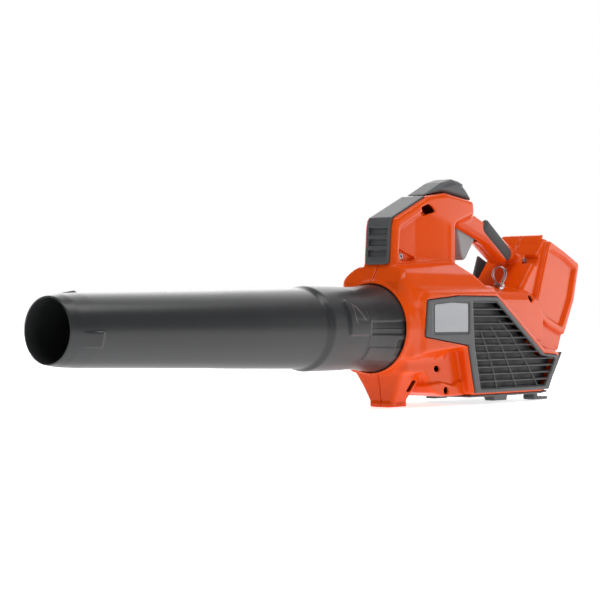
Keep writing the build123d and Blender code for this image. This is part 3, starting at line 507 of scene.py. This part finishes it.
def housing_field(block, side):
    """One half of the housing: side is 1 for the left and -1 for the right."""
    field = housing_volume(block)
    out = block.l * side
    panel = rounded(PILLAR_PANEL, 5)
    depth = 4.2 * np.clip((696 - block.s) / 75, 0, 1)
    sunk = outline_field(panel, block.s, block.h) + (PILLAR_HALF - out) * 0.6
    field = cut(field, rims(sunk, PILLAR_HALF - depth - out, 1.0), 2.0)
    niche = outline_field(rounded(SCREW_NICHE, 2), block.s, block.h)
    field = cut(field, rims(niche, 17 - out, 0.5), 1.5)
    if side > 0:
        channel = outline_field(rounded(BOX_CHANNEL, 2), block.s, block.h)
        field = cut(field, rims(channel, 21.5 - out, 0.5), 1.0)
    box_field = outline_field(rounded(BOX_FIELD, 5), block.s, block.h)
    field = cut(field, rims(box_field + (BOX_HALF + 4 - out) * 0.7, BOX_HALF - 0.6 - out, 0.5), 1.5)
    outside = field
    hollow = outside + WALL
    field = cut(field, hollow)
    wall = meet(hollow - 0.5, abs(block.s - FRONT_WALL_STATION) - 1.5)
    wall = cut(wall, off_axis(block) - FRONT_WALL_BORE)
    field = join(field, wall)
    field = cut(field, bay_field(block))
    collar_seat = meet(off_axis(block) - COLLAR_SEAT_RADIUS, block.s - COLLAR_SEAT_END)
    field = cut(field, collar_seat, 1.0)
    fan_room = meet(off_axis(block) - FAN_ROOM_RADIUS, abs(block.s - FAN_ROOM_MIDDLE) - FAN_ROOM_REACH)
    field = cut(field, fan_room)
    pocket = outline_field(rounded(GRILLE, 3), block.s, block.h) - 0.5
    field = cut(field, meet(pocket, BODY_HALF - 2.4 - out))
    window = outline_field(GRILLE_FIELD, block.s, block.h) - 1.2
    field = cut(field, meet(window, BODY_HALF - 14 - out))
    field = cut(field, prism(block, STRIP, 19.3, 0.2))
    strip_slot = meet(abs(block.s - 570) - 10, abs(block.h - STRIP_MIDDLE) - 23)
    field = cut(field, meet(strip_slot, abs(block.l) - 17.6))
    slot = outline_field(TRIGGER_OPENING, block.s, block.h)
    field = cut(field, meet(slot, abs(block.l) - 8.6))
    leg_slot = outline_field(LEG_OPENING, block.s, block.h)
    field = cut(field, leg_slot, 0.8)
    pad = rims(bar_slot(block, 0.4), BAR_HALF - 1.6 - out, 0.2)
    field = cut(field, pad)
    for rib in range(4):
        notch = meet(abs(block.s - 582 - 4.4 * rib) - 0.8, 16.5 - out)
        field = cut(field, meet(notch, block.h + AXIS_HEIGHT - 7), 0.6)
    if side > 0:
        field = cut(field, meet(outline_field(rounded(WINDOW, 1.5), block.s, block.h), 20 - out), 1.0)
        vent_hole = np.sqrt(((block.s - 633) / 1.5) ** 2 + (block.h + 53) ** 2) - 4.0
        field = cut(field, meet(vent_hole, 30 - out), 0.8)
        for station, height, seat in SCREWS:
            boss = meet(pin(block, station, height, 6.5), abs(out - seat / 2) - seat / 2)
            field = join(field, meet(boss, outside + 1))
            field = cut(field, meet(pin(block, station, height, 4.9), seat + 0.2 - out), 0.6)
        post = meet(pin(block, 806, 58.4, 4.2), abs(out - 29) - 9.5)
        field = cut(field, post)
    else:
        rise, back = bay_axes(block)
        latch = meet(meet(abs(rise - 62) - 18.4, abs(back + 50) - 25), 38.4 - out)
        field = cut(field, latch, 0.8)
    return meet(field, 0.06 - out)


def housing():
    for name, side in (("left", 1), ("right", -1)):
        ends = (-1.2, 63.6) if side > 0 else (-63.6, 1.2)
        block = Block((546, -104.4, ends[0]), (993.6, 204.0, ends[1]), SKIN_STEP)
        piece = skin(f"{name}_housing_shell", block, housing_field(block, side), 0.06)
        finish_piece(piece, "housing", "housing_orange", f"{name}_housing")


# ---------------------------------------------------------------- trim
def grille(name, side):
    """The side panel: a frame with a sunk plate field and slanted louvers behind crossing ribs."""
    block = Block((582, -90.4, 48.0), (914, 45.6, 66.4), 0.8)
    out = block.l
    outline = outline_field(rounded(GRILLE, 3), block.s, block.h)
    opening = outline_field(rounded(GRILLE_FIELD, 3), block.s, block.h)
    frame_part = rims(outline + 0.3, abs(out - BODY_HALF + 0.45) - 2.0, 1.2)
    frame_part = cut(frame_part, opening, 1.0)
    plate = outline_field(rounded(PLATE_FIELD, 3), block.s, block.h)
    frame_part = cut(frame_part, meet(plate, BODY_HALF + 0.4 - out), 0.6)
    pitch = 9.7
    reach = 2.4
    phase = (block.h + 23 + pitch / 2) % pitch - pitch / 2
    tilt = (out - BODY_HALF + 3) * 0.5
    blade = abs((phase + tilt + pitch / 2) % pitch - pitch / 2) * 0.87 - 0.7
    blade = rims(blade, abs(out - BODY_HALF + 0.9 + reach) - reach, 0.6)
    blade = meet(blade, opening - 1.2)
    field = join(frame_part, blade, 0.8)
    for heights, stations in GRILLE_RIBS:
        line = np.interp(block.h, heights, stations)
        rib = rims(abs(block.s - line) * 0.85 - 0.7, abs(out - BODY_HALF + 1.6) - 1.8, 0.4)
        rib = meet(rib, block.h - heights[-1])
        field = join(field, meet(rib, opening - 0.6), 0.4)
    # A black sheet behind the louvers that paints shade: it darkens the inside seen through the grille and hides
    # the orange shell there.
    shade_sheet = rims(opening - 0.4, abs(out - 52) - 0.8, 0.3)
    block_out = block
    if side < 0:
        field = field[:, :, ::-1]
        shade_sheet = shade_sheet[:, :, ::-1]
        block_out = Block((582, -90.4, -66.4), (914, 45.6, -48.0), 0.8)
    finish_piece(skin(f"{name}_painted_shade_sheet", block_out, shade_sheet, 0.05), "housing", "black_plastic")
    return finish_piece(skin(f"{name}_grille_panel", block_out, field, 0.03), "housing", "grey_plastic",
                        f"{name}_grille")


def vent_strip():
    block = Block((560, 79, -21.6), (648.8, 180.6, 21.6), 0.8)
    field = prism(block, rounded(STRIP, 1.0), 18.8, 0.9)
    pitch = 14.4
    field = meet(field, rims(abs(block.l) - 18.8, 82 - block.h, 5.0))
    face = 563.5 + 0.08 * (block.h - 82)
    # A grey sheet close behind the louvers that paints shade: the slots show dark through it instead of the
    # orange inside.
    painted_shade_backing = rims(abs(block.s - face - 6.5) - 1.5, abs(block.l) - 17.3, 0.5)
    field = join(field, meet(painted_shade_backing, abs(block.h - STRIP_MIDDLE) - 22.8))
    share = ((block.h - 87) % pitch) / pitch
    louver = (block.s - face - 0.7 - 5.3 * share) * 0.9
    louver = rims(louver, abs(block.l) - 15.0, 0.8)
    louver = meet(louver, abs(block.h - STRIP_MIDDLE) - 21.4)
    return finish_piece(skin("front_vent_trim", block, cut(field, louver, 0.6), 0.01), "housing",
                        "grey_plastic", "front_vent_strip")


def control_hood():
    """The smooth cap over the controls, with three key holes in its rear slope."""
    block = Block((643.2, 170.4, -22.4), (759.2, 204, 22.4), 0.8)
    outer = prism(block, rounded(HUMP, 9, 6), 20.3, 9.0)
    floor = outline_field(HUMP, block.s, block.h)
    outer = meet(outer, floor)
    field = cut(outer, meet(outer + 2.2, 178 - block.h))
    out_s, out_h = 10 / np.hypot(10, 14), 14 / np.hypot(10, 14)
    lift = (block.s - 735) * out_s + (block.h - 194) * out_h
    aside = (block.s - 735) * out_h - (block.h - 194) * out_s
    for left in (-12, 0, 12):
        hole = np.sqrt(aside ** 2 + (block.l - left) ** 2) - 4.4
        field = cut(field, meet(hole, -3.6 - lift), 0.5)
    return finish_piece(skin("control_hood", block, field), "housing", "grey_plastic", "control_cover")


def base():
    block = Block((690, -103.6, -60), (947.2, -32.4, 60), 1.0)
    wrap = prism(block, rounded(BASE_WRAP, 2), TAIL_HALF - 1, 1.4)
    floor = prism(block, rounded(BASE_FLOOR, 1.5), 58, 1.8)
    field = join(wrap, floor, 2.0)
    for side in (-1, 1):
        middle = 34 * side
        foot = rims(abs(block.s - 892) - 20, abs(block.l - middle) - 8.5, 3.0)
        foot = rims(foot, abs(block.h + AXIS_HEIGHT - 2.3) - 2.0, 1.0)
        hole = np.sqrt(np.maximum(abs(block.s - 898) - 4.5, 0) ** 2 + (block.l - middle) ** 2) - 3
        foot = cut(foot, hole, 0.4)
        post = rims(abs(block.s - 878) - 6, abs(block.l - middle) - 8.5, 1.5)
        post = rims(post, abs(block.h + 94) - 5.5, 0.5)
        field = join(field, join(foot, post, 3.0), 2.0)
        block_foot = rims(abs(block.s - 767) - 16.5, abs(block.l - 49 * side) - 7.8, 2.0)
        field = join(field, rims(block_foot, abs(block.h + 95) - 3.8, 1.0), 1.5)
    return finish_piece(skin("base_tray", block, field, 0.01), "housing", "grey_plastic", "base_frame")


def grip_pads():
    """Soft pads with a crowned face and a fine ridge round the edge."""
    for name, side in (("left", 1), ("right", -1)):
        ends = (10.9, 18.9) if side > 0 else (-18.9, -10.9)
        block = Block((776, 82.5, ends[0]), (868, 160.5, ends[1]), 0.5)
        out = block.l * side
        edge = bar_slot(block)
        top = BAR_HALF + 1.0 - 3.6 * np.clip(1 + edge / 10, 0, 1) ** 2
        field = rims(edge + 0.1, abs(out - top + 1.2) * 0.9 - 1.1, 0.7)
        groove = abs(edge + 2.6) - 0.4
        field = cut(field, meet(groove, top - 0.45 - out), 0.4)
        finish_piece(skin(f"{name}_grip_cushion", block, field), "housing", "soft_grip", f"{name}_grip_pad")


def trigger():
    block = Block((730, 89, -9.6), (780, 150.2, 9.6), 0.6)
    field = prism(block, rounded(TRIGGER, 3), 8.0, 2.6)
    hollow = np.sqrt((block.s - 718) ** 2 + (block.h - 113) ** 2) - 21.5
    field = cut(field, hollow, 2.0)
    rib = meet(prism(block, rounded(TRIGGER, 3), 6.2, 1.0) + 3.0, 6.6 - abs(block.l))
    field = cut(field, rib, 1.0)
    field = cut(field, pin(block, 739, 141, 2.1))
    return finish_piece(skin("trigger_lever", block, field), "trigger", "light_grey_plastic", "trigger")


# ---------------------------------------------------------------- collar and tube
LEG_FRONT, LEG_BACK = 441.0, 456.5
TUBE_LINE = [
    (0.9, 36.4), (14, 38.6), (38, 40.0), (129, 42.0), (232, 44.5), (300, 46.5), (388, 48.5), (404, 48.9),
    (408, 50.2), (412, 52.0), (415, 52.6), (482.2, 52.6),
]
COLLAR_LINE = [
    (484.0, 51.7), (500, 51.9), (520, 53.0), (548, 56.0), (570.5, 56.5),
]


def wrapped(angles, middle):
    """Degrees from a middle direction, the short way round."""
    return (angles - middle + 180) % 360 - 180


def tube():
    turns = 288
    angles = np.linspace(0, 360, turns, endpoint=False)[None, :]
    edges = np.concatenate([
        np.linspace(0.9, 50, 26), np.linspace(56, 396, 42), np.linspace(402, 418, 12),
        np.linspace(419.5, 482.2, 56),
    ])[:, None]
    radii = np.interp(edges, *zip(*TUBE_LINE)) + 0 * angles
    for middle in (106, -14, -134):
        aside = abs(wrapped(angles, middle)) * radians(1) * 40 - 9.6
        rise = np.clip((edges - 15) / 27, 0, 1) * (1 - np.clip((edges - 42) / 2.4, 0, 1))
        radii = radii + 2.5 * rise * step_up(aside, 2.2)
    for turn in (0, 180):
        around = wrapped(angles, turn)
        arc = around * radians(1) * 52.6
        shape = [
            (LEG_FRONT, -9.4), (LEG_FRONT, 38.0), (LEG_FRONT + 7, 38.6), (LEG_BACK, 34.0), (LEG_BACK, 9.2),
            (490, 9.2), (490, -9.4),
        ]
        bulge = 2.35 * step_up(outline_field(rounded(shape, 2.5), edges, arc), 2.6)
        web = outline_field(rounded([(452, 8), (452, 37), (464, 30), (480, 8)], 3), edges, arc)
        radii = radii + np.maximum(bulge, 0.9 * step_up(web, 5.0))
    bore = np.array([
        (482.6, 49.2), (412.5, 49.1), (411, 46.0), (388, 46.0), (300, 44.0), (232, 42.1), (129, 39.6),
        (30, 37.6), (26, 36.8), (14, 34.6), (1.0, 34.5), (0.2, 34.9), (0.0, 35.4), (0.2, 36.0),
    ])
    lip = np.array([(483.0, 52.2), (483.0, 49.6)])
    back = np.concatenate([lip, bore])
    stations = np.concatenate([edges[:, 0], back[:, 0]])
    rows = np.concatenate([radii, back[:, 1:] + 0 * angles])
    piece = spun("tube_body", stations, rows)
    return finish_piece(piece, "tube", "tube_charcoal", "blower_tube")


def collar():
    turns = 360
    angles = np.linspace(0, 360, turns, endpoint=False)[None, :]
    edges = np.concatenate([
        np.linspace(484.0, 500, 16), np.linspace(503, 542, 16), np.linspace(544, 570.5, 18),
    ])[:, None]
    radii = np.interp(edges, *zip(*COLLAR_LINE)) + 0 * angles
    for turn in (0, 180):
        arc = wrapped(angles, turn) * radians(1) * 54
        sunk = outline_field(rounded([(487, -9.4), (487, 10.4), (590, 10.4), (590, -9.4)], 2), edges, arc)
        radii = radii - 1.5 * step_up(sunk, 2.0)
        for ridge in (-0.9, -8.0):
            line = np.maximum(abs(arc - ridge) - 0.9, 489 - edges)
            radii = radii + 0.9 * step_up(line, 0.8)
        raised = outline_field(rounded([(487, -48), (487, -24), (590, -24), (590, -48)], 3), edges, arc)
        radii = radii + 1.2 * step_up(raised, 1.8)
        notch = outline_field(rounded([(541, -37), (541, -14), (590, -14), (590, -37)], 3), edges, arc)
        radii = radii - 1.6 * step_up(notch, 1.4)
    inner = np.array([
        (571.0, 56.2), (571.0, 58.4), (571.3, 58.8), (574.8, 58.8), (575.0, 58.5), (575, 47.8), (574.6, 47.5),
        (571, 47.5), (412.7, 46.0), (412.5, 46.3), (412.5, 48.7), (412.8, 49.0), (483.8, 49.0), (484.0, 49.3),
        (484.0, 51.4),
    ])
    stations = np.concatenate([edges[:, 0], inner[:, 0]])
    rows = np.concatenate([np.minimum(radii, 56.6), inner[:, 1:] + 0 * angles])
    return finish_piece(spun("collar_body", stations, rows), "housing", "tube_charcoal", "outlet_collar")


# ---------------------------------------------------------------- screws
def screws():
    """Pan heads with a six-lobed recess, and their shanks."""
    parts = []
    for station, height, seat in SCREWS:
        block = Block((station - 5.2, height - 5.2, seat - 25), (station + 5.2, height + 5.2, seat + 4), 0.4)
        s, h = block.s - station, block.h - height
        radius = np.sqrt(s ** 2 + h ** 2)
        angle = np.arctan2(h, s)
        head = rims(radius - 4.0, abs(block.l - seat - 1.4) - 1.4, 1.0)
        lobes = radius - 1.75 - 0.35 * np.cos(6 * angle)
        head = cut(head, meet(lobes, seat + 0.9 - block.l))
        turn = (block.l / 1.6 + angle / (2 * pi)) % 1.0
        thread = radius - 1.6 - 0.35 * (1 - abs(2 * turn - 1))
        shank = meet(thread, abs(block.l - seat + 12) - 12)
        parts.append(skin("screw", block, join(head, shank)))
    with bpy.context.temp_override(active_object=parts[0], selected_editable_objects=parts):
        bpy.ops.object.join()
    parts[0].name = "case_screws"
    parts[0].data.name = "case_screws"
    return finish_piece(parts[0], "housing", "steel", "housing_screws")


# ---------------------------------------------------------------- carried-over nodes
def dress_nodes():
    for name, node in frame["nodes"].items():
        node.data.materials.clear()
        node.data.materials.append(MATERIALS[SLOT_OF[name]])


# ---------------------------------------------------------------- studio
def add_light(name, place, target, size, power):
    data = bpy.data.lights.new(name, "AREA")
    data.shape = "RECTANGLE"
    data.size, data.size_y = size
    data.energy = power
    light = bpy.data.objects.new(name, data)
    light.location = place
    light.rotation_euler = (Vector(target) - Vector(place)).to_track_quat("-Z", "Y").to_euler()
    bpy.context.scene.collection.objects.link(light)


def studio():
    floor_mesh = bpy.data.meshes.new("floor")
    size = 14.0
    floor_mesh.from_pydata([(-size, -size, 0), (size, -size, 0), (size, size, 0), (-size, size, 0)], [],
                           [(0, 1, 2, 3)])
    floor = bpy.data.objects.new("floor", floor_mesh)
    white = surface("floor_white", (0.9, 0.9, 0.9), 0.6, 0.01, 0.00001, mottle=0.004)
    glow = white.node_tree.nodes["Principled BSDF"]
    glow.inputs["Emission Color"].default_value = (1, 1, 1, 1)
    glow.inputs["Emission Strength"].default_value = 0.7
    floor.data.materials.append(white)
    bpy.context.scene.collection.objects.link(floor)
    add_light("overhead", (-0.1, -0.3, 1.5), (0, 0, 0.1), (2.2, 0.5), 12)
    add_light("side", (-0.2, -2.3, 0.7), (0, 0, 0.15), (0.9, 1.2), 1.2)
    add_light("front", (-2.4, -0.2, 0.7), (0, 0, 0.15), (0.6, 0.9), 1.5)
    add_light("back", (1.2, 1.8, 1.2), (0.2, 0, 0.15), (1.6, 1.0), 5)
    add_light("rear side", (1.62, -0.72, 0.32), (0.4, 0, 0.15), (0.55, 0.6), 2.6)
    world = bpy.data.worlds.new("studio")
    bpy.context.scene.world = world
    world.use_nodes = True
    tree = world.node_tree
    backgrounds = []
    for strength in (0.34, 1.0, 1.0):
        background = tree.nodes.new("ShaderNodeBackground")
        background.inputs["Color"].default_value = (1, 1, 1, 1)
        background.inputs["Strength"].default_value = strength
        backgrounds.append(background)
    ways = tree.nodes.new("ShaderNodeTexCoord")
    towards = tree.nodes.new("ShaderNodeVectorMath")
    towards.operation = "DOT_PRODUCT"
    towards.inputs[1].default_value = (0.767, 0.641, 0.0)
    tree.links.new(ways.outputs["Generated"], towards.inputs[0])
    spread = tree.nodes.new("ShaderNodeMapRange")
    spread.interpolation_type = "SMOOTHSTEP"
    spread.inputs["From Min"].default_value = 0.35
    spread.inputs["From Max"].default_value = 0.95
    spread.inputs["To Min"].default_value = 0.04
    spread.inputs["To Max"].default_value = 2.4
    tree.links.new(towards.outputs["Value"], spread.inputs["Value"])
    tree.links.new(spread.outputs["Result"], backgrounds[1].inputs["Strength"])
    path = tree.nodes.new("ShaderNodeLightPath")
    seen = backgrounds[0].outputs["Background"]
    for ray, other in (("Is Glossy Ray", backgrounds[1]), ("Is Camera Ray", backgrounds[2])):
        choice = tree.nodes.new("ShaderNodeMixShader")
        tree.links.new(path.outputs[ray], choice.inputs["Fac"])
        tree.links.new(seen, choice.inputs[1])
        tree.links.new(other.outputs["Background"], choice.inputs[2])
        seen = choice.outputs["Shader"]
    tree.links.new(seen, tree.nodes["World Output"].inputs["Surface"])
    bpy.context.scene.view_settings.view_transform = "Standard"


CAMERA_LENS = 103.5
CAMERA_PLACE = (-1.702, -1.352, 0.1155)
CAMERA_TURN = (90.6, 0, -50.1)


def camera():
    """Level with the object and 50 degrees off its side, as in the photo."""
    data = bpy.data.cameras.new("camera")
    data.sensor_width = 36.0
    data.lens = CAMERA_LENS
    data.clip_end = 60.0
    made = bpy.data.objects.new("camera", data)
    made.location = CAMERA_PLACE
    made.rotation_euler = [radians(turn) for turn in CAMERA_TURN]
    bpy.context.scene.collection.objects.link(made)
    bpy.context.scene.camera = made


# ---------------------------------------------------------------- the object
dress_nodes()
housing()
grille("left", 1)
grille("right", -1)
vent_strip()
control_hood()
base()
grip_pads()
trigger()
tube()
collar()
screws()
studio()
camera()
